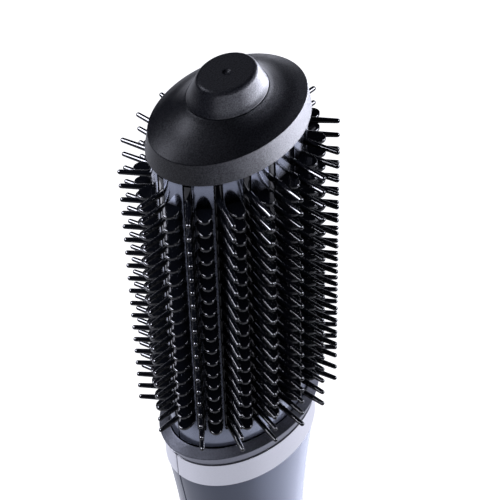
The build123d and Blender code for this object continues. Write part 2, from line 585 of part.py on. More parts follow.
# ---------------------------------------------------------------- tail: frame, cord swivel, filter cover
POST_R = 8.8
POST_BOTTOM = TAIL + 4.0
SPOKE_TOP = HANDLE_BOTTOM + 3.0
NECK_R = 5.2
SWIVEL_END = TAIL - 12.0
with BuildPart() as tail_frame:
    with BuildSketch(Plane.XY.offset(SPOKE_TOP)):
        Ellipse(SPIGOT_A - SPIGOT_WALL - 0.1, SPIGOT_B - SPIGOT_WALL - 0.1)
        Ellipse(SPIGOT_A - SPIGOT_WALL - 1.7, SPIGOT_B - SPIGOT_WALL - 1.7, mode=Mode.SUBTRACT)
        Circle(POST_R)
        Rectangle(2 * (SPIGOT_A - SPIGOT_WALL - 1), 2.0)
        Rectangle(2.0, 2 * (SPIGOT_B - SPIGOT_WALL - 1))
    extrude(amount=-3.0)
    with BuildSketch(Plane.XY.offset(SPOKE_TOP - 3.0)):
        Circle(POST_R)
    extrude(amount=POST_BOTTOM - SPOKE_TOP + 3.0)
    with BuildSketch(Plane.XY.offset(SPOKE_TOP)):
        Circle(NECK_R)
    extrude(amount=-40, mode=Mode.SUBTRACT)
    with BuildSketch(Plane.XY.offset(SPOKE_TOP - 3.0)):
        Circle(POST_R - 1.7)
    extrude(amount=POST_BOTTOM + 2.5 - SPOKE_TOP + 3.0, mode=Mode.SUBTRACT)
    with BuildSketch(Plane.XY.offset(POST_BOTTOM)):
        Circle(NECK_R + CLEAR)
    extrude(amount=5, mode=Mode.SUBTRACT)
finish(tail_frame.part, "tail_frame")

with BuildPart() as cord_swivel:
    with Locations((0, 0, POST_BOTTOM + 2.5 + CLEAR)):
        Cylinder(POST_R - 1.7 - CLEAR, 3.0, align=UPWARD)
    with Locations((0, 0, POST_BOTTOM - 1)):
        Cylinder(NECK_R, 5, align=UPWARD)
    with BuildSketch(Plane.XY.offset(POST_BOTTOM - CLEAR)):
        Circle(SWIVEL_R)
    with BuildSketch(Plane.XY.offset(SWIVEL_END)):
        Circle(SWIVEL_R - 1.0)
    loft()
    with Locations((0, 0, SWIVEL_END)):
        Cylinder(CORD_R, 40, align=UPWARD, mode=Mode.SUBTRACT)
finish(cord_swivel.part, "cord_swivel")

COVER_WALL = 1.4
SLOTS_ROUND = 36
with BuildPart() as filter_cover:
    with BuildSketch(Plane.XY.offset(HANDLE_BOTTOM - 0.4)):
        Ellipse(COVER_A, COVER_B)
    with BuildSketch(Plane.XY.offset(TAIL + 5)):
        Ellipse(COVER_A - 0.8, COVER_B - 0.7)
    loft()
    with BuildSketch(Plane.XY.offset(TAIL + 5)):
        Ellipse(COVER_A - 0.8, COVER_B - 0.7)
    with BuildSketch(Plane.XY.offset(TAIL + 1.4)):
        Ellipse(COVER_A - 2.2, COVER_B - 2.1)
    with BuildSketch(Plane.XY.offset(TAIL)):
        Ellipse(COVER_A - 5.0, COVER_B - 4.9)
    loft()
    with BuildSketch(Plane.XY.offset(HANDLE_BOTTOM - 0.4)):
        Ellipse(COVER_A - COVER_WALL, COVER_B - COVER_WALL)
    with BuildSketch(Plane.XY.offset(TAIL + 5)):
        Ellipse(COVER_A - 0.8 - COVER_WALL, COVER_B - 0.7 - COVER_WALL)
    loft(mode=Mode.SUBTRACT)
    with BuildSketch(Plane.XY.offset(TAIL + 5)):
        Ellipse(COVER_A - 2.2 - COVER_WALL, COVER_B - 2.1 - COVER_WALL)
    extrude(amount=-3.2, mode=Mode.SUBTRACT)
    with BuildSketch(Plane.XY.offset(TAIL + 5)):
        Circle(SWIVEL_R + 0.8)
    extrude(amount=-10, mode=Mode.SUBTRACT)
    with Locations((0, 0, (HANDLE_BOTTOM - 8 + TAIL + 8) / 2)):
        with PolarLocations(COVER_B, SLOTS_ROUND):
            Box(18, 1.4, HANDLE_BOTTOM - TAIL - 16, mode=Mode.SUBTRACT)
finish(filter_cover.part, "filter_cover")

with BuildPart() as filter_mesh:
    mesh_a, mesh_b = COVER_A - 0.8 - COVER_WALL - 0.1, COVER_B - 0.7 - COVER_WALL - 0.1
    with BuildSketch(Plane.XY.offset(TAIL + 5.2)):
        Ellipse(mesh_a, mesh_b)
        Ellipse(mesh_a - 0.5, mesh_b - 0.5, mode=Mode.SUBTRACT)
    extrude(amount=HANDLE_BOTTOM - 6.5 - TAIL - 5.2)
finish(filter_mesh.part, "filter_mesh")
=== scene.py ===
"""Looks of the hot air brush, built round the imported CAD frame. Sizes below are in mm."""
import json
from math import asin, atan2, cos, exp, hypot, pi, radians, sin, sqrt

import bpy
import numpy as np
from mathutils import Matrix, Vector
from mathutils.geometry import delaunay_2d_cdt


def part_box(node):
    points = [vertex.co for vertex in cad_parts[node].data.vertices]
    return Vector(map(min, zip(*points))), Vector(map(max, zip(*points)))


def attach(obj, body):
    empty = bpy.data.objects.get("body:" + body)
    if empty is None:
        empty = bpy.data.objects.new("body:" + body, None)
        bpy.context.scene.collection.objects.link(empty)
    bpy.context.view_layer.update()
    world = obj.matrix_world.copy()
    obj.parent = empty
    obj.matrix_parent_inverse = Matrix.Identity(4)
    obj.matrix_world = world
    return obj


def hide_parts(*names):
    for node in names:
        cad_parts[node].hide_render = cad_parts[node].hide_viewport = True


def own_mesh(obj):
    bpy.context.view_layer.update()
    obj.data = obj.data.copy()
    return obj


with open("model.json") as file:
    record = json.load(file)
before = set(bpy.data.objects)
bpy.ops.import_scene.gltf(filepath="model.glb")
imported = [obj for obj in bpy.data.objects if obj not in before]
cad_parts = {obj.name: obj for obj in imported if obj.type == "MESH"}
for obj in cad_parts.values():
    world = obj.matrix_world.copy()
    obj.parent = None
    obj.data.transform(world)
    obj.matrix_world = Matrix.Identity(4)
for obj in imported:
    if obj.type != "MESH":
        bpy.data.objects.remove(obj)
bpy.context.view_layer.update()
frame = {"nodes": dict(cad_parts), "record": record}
nodes = frame["nodes"]
MM = 0.001


# ---------------------------------------------------------------- sizes, from the frame
def node_box(name):
    """Lowest and highest corners of a CAD node, in mm."""
    low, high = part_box(name)
    return Vector(low) / MM, Vector(high) / MM


PLATE_LOW, PLATE_HIGH = node_box("barrel_plate_rear")
RING_BOTTOM = node_box("handle_front")[1].z
COLLAR_TOP = node_box("barrel_collar")[1].z
TAIL = node_box("filter_cover")[0].z
BARREL_A, BARREL_B = PLATE_HIGH.x, PLATE_HIGH.y
PLATE_BOTTOM, PLATE_TOP = PLATE_LOW.z, PLATE_HIGH.z
PLATE_WALL = 0.9
PLATE_RIM = PLATE_TOP - 0.5     # keeps the plates clear of the cap
SEAM_GAP = 0.4
CLEAR = 0.3
CAP_BOTTOM = PLATE_TOP + 0.1
COLUMNS = 16
PIN_ROWS = 19
ROW_PITCH = 6.24
FIRST_ROW = RING_BOTTOM + 31.7
TIP_A, TIP_B = 36.9, 32.3
PIN_ROOT_R, PIN_TIP_R = 1.08, 0.8
PIN_LEAN = 11.0
TONGUE_END_OUT, TONGUE_SIDE_OUT = 5.2, 6.2
TONGUE_WIDTH, TONGUE_THICK, TONGUE_NOSE = 5.2, 1.3, 3.8
STRIP_BOTTOM, STRIP_TOP = COLLAR_TOP + 5.5, CAP_BOTTOM - 2.0
STRIP_BACK = 3.2                # depth of a strip's back below the barrel's surface
SLOT_BOTTOM, SLOT_WIDTH, SLOT_CORNER = FIRST_ROW - 2.0, 2.8, 0.7
WINDOW_CLEAR, WINDOW_CORNER = 0.6, 0.45
AIR_HOLE_R, AIR_HOLE_SHARE = 0.85, 0.73     # the share is of the way from one column to the next
HANDLE_DEPTH = 178.0
HANDLE_BOTTOM = RING_BOTTOM - HANDLE_DEPTH
SHELL_WALL = 2.2
RING_TOP = RING_BOTTOM + 12.35


def handle_oval(depth):
    """Half widths of the handle in X and in Y, at a depth below the ring."""
    shoulder = exp(-(max(depth, 0.0) / 48.0) ** 1.17)
    flare = (depth / HANDLE_DEPTH) ** 4
    return 22.0 + 7.6 * shoulder + 0.8 * flare, 17.6 + 3.8 * shoulder + 1.8 * flare


# ---------------------------------------------------------------- materials
def new_material(name):
    """An empty material with a Principled shader; returns its nodes, links and shader."""
    made = bpy.data.materials.new(name)
    made.use_nodes = True
    tree = made.node_tree
    return made, tree, tree.nodes["Principled BSDF"]


def grain(tree, shader, scale, depth, strength, detail=4.0, squash=(1, 1, 1), kind="noise"):
    """Fine surface relief from a noise or voronoi pattern, in object space."""
    where = tree.nodes.new("ShaderNodeTexCoord")
    sized = tree.nodes.new("ShaderNodeMapping")
    sized.inputs["Scale"].default_value = squash
    tree.links.new(where.outputs["Object"], sized.inputs["Vector"])
    if kind == "noise":
        pattern = tree.nodes.new("ShaderNodeTexNoise")
        pattern.inputs["Detail"].default_value = detail
        out = pattern.outputs["Fac"]
    else:
        pattern = tree.nodes.new("ShaderNodeTexVoronoi")
        out = pattern.outputs["Distance"]
    pattern.inputs["Scale"].default_value = scale
    tree.links.new(sized.outputs["Vector"], pattern.inputs["Vector"])
    bump = tree.nodes.new("ShaderNodeBump")
    bump.inputs["Strength"].default_value = strength
    bump.inputs["Distance"].default_value = depth * MM
    tree.links.new(out, bump.inputs["Height"])
    tree.links.new(bump.outputs["Normal"], shader.inputs["Normal"])
    return pattern, out


def vary(tree, shader, socket, pattern_out, low, high, start=0.3, end=0.7):
    """Drives a socket between two values with a pattern."""
    ramp = tree.nodes.new("ShaderNodeValToRGB")
    for element, place, value in zip(ramp.color_ramp.elements, (start, end), (low, high)):
        element.position = place
        element.color = (*value, 1) if isinstance(value, tuple) else (value, value, value, 1)
    tree.links.new(pattern_out, ramp.inputs["Fac"])
    tree.links.new(ramp.outputs["Color"], shader.inputs[socket])


def finish_of(name, colour, metallic=0.0, rough=0.4, spread=0.06, scale=900.0, depth=0.02,
              strength=0.3, coat=0.0, coat_rough=0.1, tint=0.12, detail=4.0, squash=(1, 1, 1),
              specular=0.5, kind="noise", sparkle=0.0):
    """A procedural material: colour and roughness wander a little, with fine relief."""
    made, tree, shader = new_material(name)
    shader.inputs["Metallic"].default_value = metallic
    shader.inputs["Coat Weight"].default_value = coat
    shader.inputs["Coat Roughness"].default_value = coat_rough
    shader.inputs["Specular IOR Level"].default_value = specular
    pattern, out = grain(tree, shader, scale, depth, strength, detail, squash, kind)
    dark = tuple(c * (1 - tint) for c in colour)
    light = tuple(min(c * (1 + tint), 1.0) for c in colour)
    vary(tree, shader, "Base Color", out, dark, light)
    vary(tree, shader, "Roughness", out, max(rough - spread, 0.02), min(rough + spread, 1.0))
    if sparkle:
        vary(tree, shader, "Specular IOR Level", out, specular * (1 - sparkle),
             specular * (1 + sparkle))
    return made


MATERIALS = {
    "cap_black": finish_of("cap_black", (0.009, 0.0098, 0.0145), rough=0.42, spread=0.05, scale=2300,
                           depth=0.05, strength=1.0, tint=0.4, detail=2.0, sparkle=0.4),
    "bristle_nylon": finish_of("bristle_nylon", (0.0007, 0.0008, 0.0012), rough=0.09, spread=0.02,
                               scale=600, depth=0.006, strength=0.08, specular=0.6),
    "barrel_metal": finish_of("barrel_metal", (0.18, 0.195, 0.25), metallic=1.0, rough=0.13, spread=0.03,
                              scale=500, depth=0.006, strength=0.12, tint=0.05, squash=(1, 1, 0.15)),
    "satin_silver": finish_of("satin_silver", (0.90, 0.90, 0.94), metallic=1.0, rough=0.33, spread=0.05,
                              scale=1500, depth=0.01, strength=0.15, tint=0.04, squash=(1, 1, 4)),
    "collar_grey": finish_of("collar_grey", (0.33, 0.34, 0.39), metallic=0.75, rough=0.42, spread=0.08,
                             scale=1600, depth=0.05, strength=0.8, tint=0.2, detail=3.0),
    "handle_gunmetal": finish_of("handle_gunmetal", (0.074, 0.088, 0.128), metallic=0.9, rough=0.32,
                                 spread=0.03, scale=1800, depth=0.008, strength=0.12, coat=0.5,
                                 coat_rough=0.12, tint=0.06),
    "control_black": finish_of("control_black", (0.012, 0.012, 0.014), rough=0.45, scale=1800, depth=0.03,
                               strength=0.4),
    "inner_plastic": finish_of("inner_plastic", (0.02, 0.02, 0.022), rough=0.5, scale=900, depth=0.03,
                               strength=0.3),
    "mount_rubber": finish_of("mount_rubber", (0.015, 0.015, 0.015), rough=0.75, scale=700, depth=0.04,
                              strength=0.4),
    "mica": finish_of("mica", (0.55, 0.47, 0.33), rough=0.45, scale=260, depth=0.05, strength=0.4, tint=0.2,
                      squash=(1, 1, 0.3)),
    "resistance_wire": finish_of("resistance_wire", (0.55, 0.50, 0.45), metallic=1.0, rough=0.35, scale=900),
    "bright_steel": finish_of("bright_steel", (0.62, 0.62, 0.63), metallic=1.0, rough=0.22, scale=800,
                              depth=0.008, strength=0.15, tint=0.05),
    "bronze": finish_of("bronze", (0.50, 0.33, 0.16), metallic=1.0, rough=0.38, scale=800),
    "board_green": finish_of("board_green", (0.02, 0.10, 0.045), rough=0.35, scale=420, tint=0.25),
    "impeller_white": finish_of("impeller_white", (0.62, 0.62, 0.60), rough=0.4, scale=700),
    "swivel_black": finish_of("swivel_black", (0.012, 0.012, 0.013), rough=0.5, scale=1500, depth=0.03,
                              strength=0.4),
    "filter_steel": finish_of("filter_steel", (0.35, 0.35, 0.36), metallic=1.0, rough=0.4, scale=3200,
                              depth=0.12, strength=1.0, tint=0.5, kind="voronoi"),
    "lamp_lens": finish_of("lamp_lens", (0.35, 0.42, 0.55), rough=0.15, scale=300, coat=0.6),
}


def paint_shade_in_hollows(material, dark, light, distance, start, end):
    """Paints shade into a material's colour: darker where other surfaces stand close round it, in place of
    the shade that falls there.
    """
    tree = material.node_tree
    openness = tree.nodes.new("ShaderNodeAmbientOcclusion")
    openness.samples = 8
    openness.inputs["Distance"].default_value = distance * MM
    vary(tree, tree.nodes["Principled BSDF"], "Base Color", openness.outputs["AO"], dark, light, start, end)


# Painted shade: the barrel metal's colour runs near-black where the bristles stand close round it, standing
# in for the shade between the strips.
paint_shade_in_hollows(MATERIALS["barrel_metal"], (0.004, 0.0045, 0.007), (0.31, 0.335, 0.41),
                  distance=9.0, start=0.62, end=0.97)


# ---------------------------------------------------------------- making pieces
def add_piece(name, verts, faces, slot, replaced=(), corners=None, sharp=40.0):
    """A mesh piece in the row frame that rides on the housing and stands for CAD nodes."""
    mesh = bpy.data.meshes.new(name)
    mesh.from_pydata([tuple(c * MM for c in v) for v in verts], [], faces)
    mesh.validate()
    mesh.polygons.foreach_set("use_smooth", [True] * len(mesh.polygons))
    mesh.materials.append(MATERIALS[slot])
    piece = bpy.data.objects.new(name, mesh)
    bpy.context.scene.collection.objects.link(piece)
    if corners is not None:
        mesh.normals_split_custom_set(corners)
    else:
        mesh.set_sharp_from_angle(angle=radians(sharp))
        tidy = piece.modifiers.new("even_shading", "WEIGHTED_NORMAL")
        tidy.keep_sharp = True
    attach(piece, "housing")
    if replaced:
        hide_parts(*replaced)
    return piece


def soften(points, radius, steps=3, closed=False):
    """Rounds the corners of a run of (a, b, z) points."""
    run = [Vector(p) for p in points]
    count = len(run)
    made = []
    for i, p in enumerate(run):
        if not closed and i in (0, count - 1):
            made.append(p)
            continue
        before, after = run[i - 1], run[(i + 1) % count]
        to_before, to_after = before - p, after - p
        size = min(radius, to_before.length * 0.45, to_after.length * 0.45)
        start, end = p + to_before.normalized() * size, p + to_after.normalized() * size
        for j in range(steps + 1):
            t = j / steps
            made.append(start * (1 - t) ** 2 + p * 2 * t * (1 - t) + end * t ** 2)
    return [tuple(p) for p in made]


def smooth_through(points, steps=6):
    """A smooth run of (a, b, z) points through the given ones."""
    run = [Vector(p) for p in points]
    padded = [run[0] * 2 - run[1]] + run + [run[-1] * 2 - run[-2]]
    made = []
    for p0, p1, p2, p3 in zip(padded, padded[1:], padded[2:], padded[3:]):
        for j in range(steps):
            t = j / steps
            made.append(0.5 * (p1 * 2 + (p2 - p0) * t + (p0 * 2 - p1 * 5 + p2 * 4 - p3) * t ** 2
                               + (p1 * 3 - p0 - p2 * 3 + p3) * t ** 3))
    made.append(run[-1])
    return [tuple(p) for p in made]


def oval_stack(profile, around=128, start=0.0, end=None, closed=False):
    """Vertices and faces of ovals (a, b, z) one over another; a partial turn gets end faces."""
    part_turn = end is not None
    count = around + 1 if part_turn else around
    sweep = (end - start) if part_turn else 2 * pi
    verts, rings = [], []
    for a, b, z in profile:
        if a < 1e-6 and b < 1e-6:
            rings.append([len(verts)])
            verts.append((0, 0, z))
            continue
        rings.append(list(range(len(verts), len(verts) + count)))
        for i in range(count):
            t = start + sweep * i / around
            verts.append((a * cos(t), b * sin(t), z))
    faces = []
    pairs = list(zip(rings, rings[1:])) + ([(rings[-1], rings[0])] if closed else [])
    for low, high in pairs:
        span = around if part_turn else count
        for i in range(span):
            j = i + 1 if part_turn else (i + 1) % count
            if len(low) == 1:
                faces.append((low[0], high[j], high[i]))
            elif len(high) == 1:
                faces.append((low[i], low[j], high[0]))
            else:
                faces.append((low[i], low[j], high[j], high[i]))
    if part_turn:
        faces.append(tuple(r[0] for r in rings))
        faces.append(tuple(r[-1] for r in reversed(rings)))
    return verts, faces


def merged(*parts):
    """Several (verts, faces) as one."""
    verts, faces = [], []
    for v, f in parts:
        base = len(verts)
        verts += v
        faces += [tuple(i + base for i in face) for face in f]
    return verts, faces


# ---------------------------------------------------------------- thin shells cut from a flat pattern
def loop_area(loop):
    return sum(p[0] * q[1] - q[0] * p[1] for p, q in zip(loop, loop[1:] + loop[:1])) / 2


def moved_loop(loop, outward):
    """A closed loop moved outward by a distance, or inward if it is negative."""
    turn = 1 if loop_area(loop) > 0 else -1
    made = []
    count = len(loop)
    for i, p in enumerate(loop):
        q, r = loop[i - 1], loop[(i + 1) % count]
        d0 = Vector((p[0] - q[0], p[1] - q[1])).normalized()
        d1 = Vector((r[0] - p[0], r[1] - p[1])).normalized()
        n0, n1 = Vector((d0.y, -d0.x)) * turn, Vector((d1.y, -d1.x)) * turn
        both = (n0 + n1) / max(1 + n0.dot(n1), 0.4)
        made.append((p[0] + both.x * outward, p[1] + both.y * outward))
    return made


def dense_loop(corners, spacing):
    """A closed loop with extra points along its straight sides."""
    made = []
    for p, q in zip(corners, corners[1:] + corners[:1]):
        count = max(1, round(hypot(q[0] - p[0], q[1] - p[1]) / spacing))
        for i in range(count):
            t = i / count
            made.append((p[0] + (q[0] - p[0]) * t, p[1] + (q[1] - p[1]) * t))
    return made


def rounded_box(u, v, width, height, radius, steps=3):
    """A rounded rectangle loop round (u, v)."""
    made = []
    for sx, sy, turn in ((1, 1, 0), (-1, 1, 1), (-1, -1, 2), (1, -1, 3)):
        cx, cy = u + sx * (width / 2 - radius), v + sy * (height / 2 - radius)
        for i in range(steps + 1):
            t = (turn + i / steps) * pi / 2
            made.append((cx + radius * cos(t), cy + radius * sin(t)))
    return made


def circle(u, v, r, count=40):
    return [(u + r * cos(t), v + r * sin(t)) for t in np.linspace(0, 2 * pi, count + 1)[:-1]]


def inside(points, loop):
    """Which of the points lie inside a closed loop."""
    poly = np.array(loop)
    hit = np.zeros(len(points), bool)
    near = ((points >= poly.min(0)) & (points <= poly.max(0))).all(1)
    x, y = points[near, 0], points[near, 1]
    found = np.zeros(len(x), bool)
    for (x0, y0), (x1, y1) in zip(poly, np.roll(poly, -1, 0)):
        if y0 != y1:
            cross = ((y0 > y) != (y1 > y)) & (x < (x1 - x0) * (y - y0) / (y1 - y0) + x0)
            found ^= cross
    hit[near] = found
    return hit


EDGE_SHARE = 0.71       # how far across a softened edge its middle row of points lies


def shell(surface, outline, holes, wall, edge, spacing):
    """A thin shell: a flat pattern (outline and holes) on a surface(u, v, depth), with softened edges.

    Returns vertices, faces and the normal of each face corner.
    """
    loops = [outline] + holes
    rims = [moved_loop(outline, -edge)] + [moved_loop(h, edge) for h in holes]
    low, high = np.array(outline).min(0), np.array(outline).max(0)
    us = np.arange(low[0] + spacing[0] / 2, high[0], spacing[0])
    vs = np.arange(low[1] + spacing[1] / 2, high[1], spacing[1])
    grid = np.array([(u, v) for u in us for v in vs])
    keep = inside(grid, moved_loop(outline, -edge - 0.35 * min(spacing)))
    for h in holes:
        keep &= ~inside(grid, moved_loop(h, edge + 0.3 * min(spacing)))
    flat = [p for rim in rims for p in rim]
    edges, base = [], 0
    for rim in rims:
        edges += [(base + i, base + (i + 1) % len(rim)) for i in range(len(rim))]
        base += len(rim)
    flat += [tuple(p) for p in grid[keep]]
    points, _, triangles, origins, _, _ = delaunay_2d_cdt([Vector(p) for p in flat], edges, [], 2, 1e-5)
    index_of = {}
    for i, sources in enumerate(origins):
        for s in sources:
            index_of[s] = i

    def normal_at(u, v):
        e = 0.02
        du = surface(u + e, v, 0) - surface(u - e, v, 0)
        dv = surface(u, v + e, 0) - surface(u, v - e, 0)
        return du.cross(dv).normalized()

    normals = [normal_at(p.x, p.y) for p in points]
    outer = [surface(p.x, p.y, 0) for p in points]
    inner_flat = [(p.x, p.y) for p in points]
    base = 0
    rim_index = []
    for loop, rim in zip(loops, rims):
        ids = [index_of[base + i] for i in range(len(rim))]
        rim_index.append(ids)
        for i, point in zip(ids, loop):
            inner_flat[i] = point
        base += len(rim)
    count = len(points)
    verts = outer + [surface(u, v, wall) for u, v in inner_flat]
    faces, corners = [], []
    a, b, c = (outer[i] for i in triangles[0])
    flip = (b - a).cross(c - a).dot(normals[triangles[0][0]]) < 0
    for tri in triangles:
        tri = list(reversed(tri)) if flip else list(tri)
        faces.append(tuple(tri))
        corners += [normals[i] for i in tri]
        faces.append(tuple(i + count for i in reversed(tri)))
        corners += [-normals[i] for i in reversed(tri)]
    for which, (loop, ids) in enumerate(zip(loops, rim_index)):
        size = len(loop)
        rim_points = [points[i] for i in ids]
        side = [(surface(u, v, 0) - surface(p.x, p.y, 0)).normalized()
                for p, (u, v) in zip(rim_points, loop)]
        lip = len(verts)
        verts += [surface(u, v, edge) for u, v in loop]
        mid = len(verts)
        verts += [surface(p.x + (u - p.x) * EDGE_SHARE, p.y + (v - p.y) * EDGE_SHARE, edge * (1 - EDGE_SHARE))
                  for p, (u, v) in zip(rim_points, loop)]
        forward = (loop_area(loop) > 0) == (which == 0)
        for i in range(size):
            j = (i + 1) % size
            i0, j0 = (i, j) if forward else (j, i)
            rows = ((ids[i0], ids[j0], mid + j0, mid + i0), (mid + i0, mid + j0, lip + j0, lip + i0),
                    (lip + i0, lip + j0, ids[j0] + count, ids[i0] + count))
            half_i = (side[i0] + normals[ids[i0]]).normalized()
            half_j = (side[j0] + normals[ids[j0]]).normalized()
            shades = ((normals[ids[i0]], normals[ids[j0]], half_j, half_i),
                      (half_i, half_j, side[j0], side[i0]),
                      (side[i0], side[j0], side[j0], side[i0]))
            for row, shade in zip(rows, shades):
                a, b, c = (Vector(verts[q]) for q in row[:3])
                turn = (b - a).cross(c - a).dot(shade[0] + shade[2]) < 0
                faces.append(tuple(reversed(row)) if turn else row)
                corners += list(reversed(shade)) if turn else list(shade)
    return verts, faces, corners


# ---------------------------------------------------------------- barrel layout, as in the CAD
ANGLES = np.linspace(0, 2 * pi, 4001)
STEPS_OUT = np.hypot(np.diff(BARREL_A * np.cos(ANGLES)), np.diff(BARREL_B * np.sin(ANGLES)))
LENGTHS = np.concatenate([[0.0], np.cumsum(STEPS_OUT)])
ROUND = float(LENGTHS[-1])
PITCH = ROUND / COLUMNS
PIN_HEIGHTS = [FIRST_ROW + i * ROW_PITCH for i in range(PIN_ROWS)]
TONGUE_HEIGHTS = [h + ROW_PITCH / 2 for h in PIN_HEIGHTS[:-1]]


def barrel_at(along, depth=0.0):
    """x, y and normal angle at a running length round the barrel, moved in by a depth."""
    t = float(np.interp(along % ROUND, LENGTHS, ANGLES))
    normal = atan2(sin(t) / BARREL_B, cos(t) / BARREL_A)
    return BARREL_A * cos(t) - depth * cos(normal), BARREL_B * sin(t) - depth * sin(normal), normal


def barrel_surface(u, v, depth):
    x, y, _ = barrel_at(u, depth)
    return Vector((x, y, v))


def pin_reach(x, y, angle):
    """Distance from (x, y) along the angle to the oval through the pin tips."""
    c, s = cos(angle), sin(angle)
    qa = (c / TIP_A) ** 2 + (s / TIP_B) ** 2
    qb = 2 * (x * c / TIP_A ** 2 + y * s / TIP_B ** 2)
    qc = (x / TIP_A) ** 2 + (y / TIP_B) ** 2 - 1
    return (-qb + sqrt(qb * qb - 4 * qa * qc)) / (2 * qa)


# ---------------------------------------------------------------- bristle strips
def lathe(points, origin, axis, around=20):
    """A turned shape: (distance along the axis, radius) points from an origin."""
    axis = Vector(axis).normalized()
    side = axis.orthogonal().normalized()
    other = axis.cross(side)
    verts, rows = [], []
    for along, r in points:
        centre = Vector(origin) + axis * along
        if r < 1e-6:
            rows.append([len(verts)])
            verts.append(tuple(centre))
            continue
        rows.append(list(range(len(verts), len(verts) + around)))
        for i in range(around):
            t = 2 * pi * i / around
            verts.append(tuple(centre + side * (r * cos(t)) + other * (r * sin(t))))
    faces = []
    for low, high in zip(rows, rows[1:]):
        for i in range(around):
            j = (i + 1) % around
            if len(low) == 1 and len(high) == 1:
                continue
            if len(low) == 1:
                faces.append((low[0], high[j], high[i]))
            elif len(high) == 1:
                faces.append((low[i], low[j], high[0]))
            else:
                faces.append((low[i], low[j], high[j], high[i]))
    return verts, faces


def pin(root, out, length):
    """A tapered pin with a rounded end."""
    points = [(0, PIN_ROOT_R), (length * 0.5, (PIN_ROOT_R + PIN_TIP_R) / 2), (length, PIN_TIP_R)]
    for i in range(1, 6):
        t = i / 5 * pi / 2
        points.append((length + PIN_TIP_R * sin(t), PIN_TIP_R * cos(t) if i < 5 else 0.0))
    return lathe(points, root, out, 20)


def tongue(x, y, angle, z, out_by):
    """A flat paddle with a rounded nose and softened edges, standing out of the barrel."""
    half, shank = TONGUE_WIDTH / 2, out_by - TONGUE_NOSE
    outline = [(-2.0, -half), (shank * 0.5, -half)]
    for i in range(17):
        t = -pi / 2 + pi * i / 16
        outline.append((shank + TONGUE_NOSE * cos(t), half * sin(t)))
    outline += [(shank * 0.5, half), (-2.0, half)]
    c, s = cos(angle), sin(angle)
    levels = ((0.34, -0.65), (0.16, -0.61), (0.05, -0.50), (0.0, -0.34), (0.0, 0.34), (0.05, 0.50),
              (0.16, 0.61), (0.34, 0.65))
    verts, rows = [], []
    for inset, lift in levels:
        loop = moved_loop(outline, -inset)
        rows.append(list(range(len(verts), len(verts) + len(loop))))
        for p, q in loop:
            verts.append((x + p * c - q * s, y + p * s + q * c, z + lift * TONGUE_THICK / 1.3))
    faces = []
    for low, high in zip(rows, rows[1:]):
        for i in range(len(low)):
            j = (i + 1) % len(low)
            faces.append((low[i], low[j], high[j], high[i]))
    faces.append(tuple(reversed(rows[0])))
    faces.append(tuple(rows[-1]))
    return verts, faces


def slab(points_out, points_in, bottom, top):
    """A curved bar between two runs of (x, y) points."""
    loop = points_out + points_in[::-1]
    count = len(loop)
    verts = [(p, q, bottom) for p, q in loop] + [(p, q, top) for p, q in loop]
    faces = [(i, (i + 1) % count, (i + 1) % count + count, i + count) for i in range(count)]
    half = len(points_out)
    for i in range(half - 1):
        a, b, c, d = i, i + 1, count - 2 - i, count - 1 - i
        faces.append((d, c, b, a))
        faces.append((a + count, b + count, c + count, d + count))
    return verts, faces


def bristle_strip(k):
    """One strip: base, rib, a column of pins and a column of paddles."""
    x, y, normal = barrel_at(k * PITCH)
    lean = normal + radians(PIN_LEAN) * sin(2 * normal)
    reach = pin_reach(x, y, lean)
    out = Vector((cos(lean), sin(lean), 0))
    parts = []
    for h in PIN_HEIGHTS:
        root = Vector((x, y, h)) - out * 1.0
        parts.append(pin(root, out, reach + 1.0 - PIN_TIP_R))
    xt, yt, square_angle = barrel_at((k + 0.5) * PITCH)
    out_by = TONGUE_END_OUT + (TONGUE_SIDE_OUT - TONGUE_END_OUT) * sin(square_angle) ** 4
    for h in TONGUE_HEIGHTS:
        parts.append(tongue(xt, yt, square_angle, h, out_by))
    spots = [k - 0.15 + 0.81 * i / 10 for i in range(11)]
    face = [barrel_at(u * PITCH, PLATE_WALL + CLEAR)[:2] for u in spots]
    back = [barrel_at(u * PITCH, STRIP_BACK)[:2] for u in spots]
    parts.append(slab(face, back, STRIP_BOTTOM, STRIP_TOP))
    c, s = cos(normal), sin(normal)
    rib = [(-2.2, -1.1), (-0.5, -1.1), (-0.32, -1.03), (-0.25, -0.85), (-0.25, 0.85), (-0.32, 1.03),
           (-0.5, 1.1), (-2.2, 1.1)]
    rib = [(x + p * c - q * s, y + p * s + q * c) for p, q in rib]
    parts.append(slab(rib[:4], rib[:3:-1], SLOT_BOTTOM + 0.1, STRIP_TOP))
    add_piece(f"bristles_{k + 1:02d}", *merged(*parts), "bristle_nylon", [f"bristle_strip_{k + 1:02d}"],
              sharp=50)


for k in range(COLUMNS):
    bristle_strip(k)


# ---------------------------------------------------------------- barrel plates
def slot_side(at, side):
    """The side of a slot from its foot up, at -1 or +1 half its width from its middle."""
    half, r = SLOT_WIDTH / 2, SLOT_CORNER
    foot = [(at + side * (half - r + r * sin(t)), SLOT_BOTTOM + r * (1 - cos(t)))
            for t in (0.0, pi / 6, pi / 3, pi / 2)]
    return foot + [(at + side * half, PLATE_RIM)]


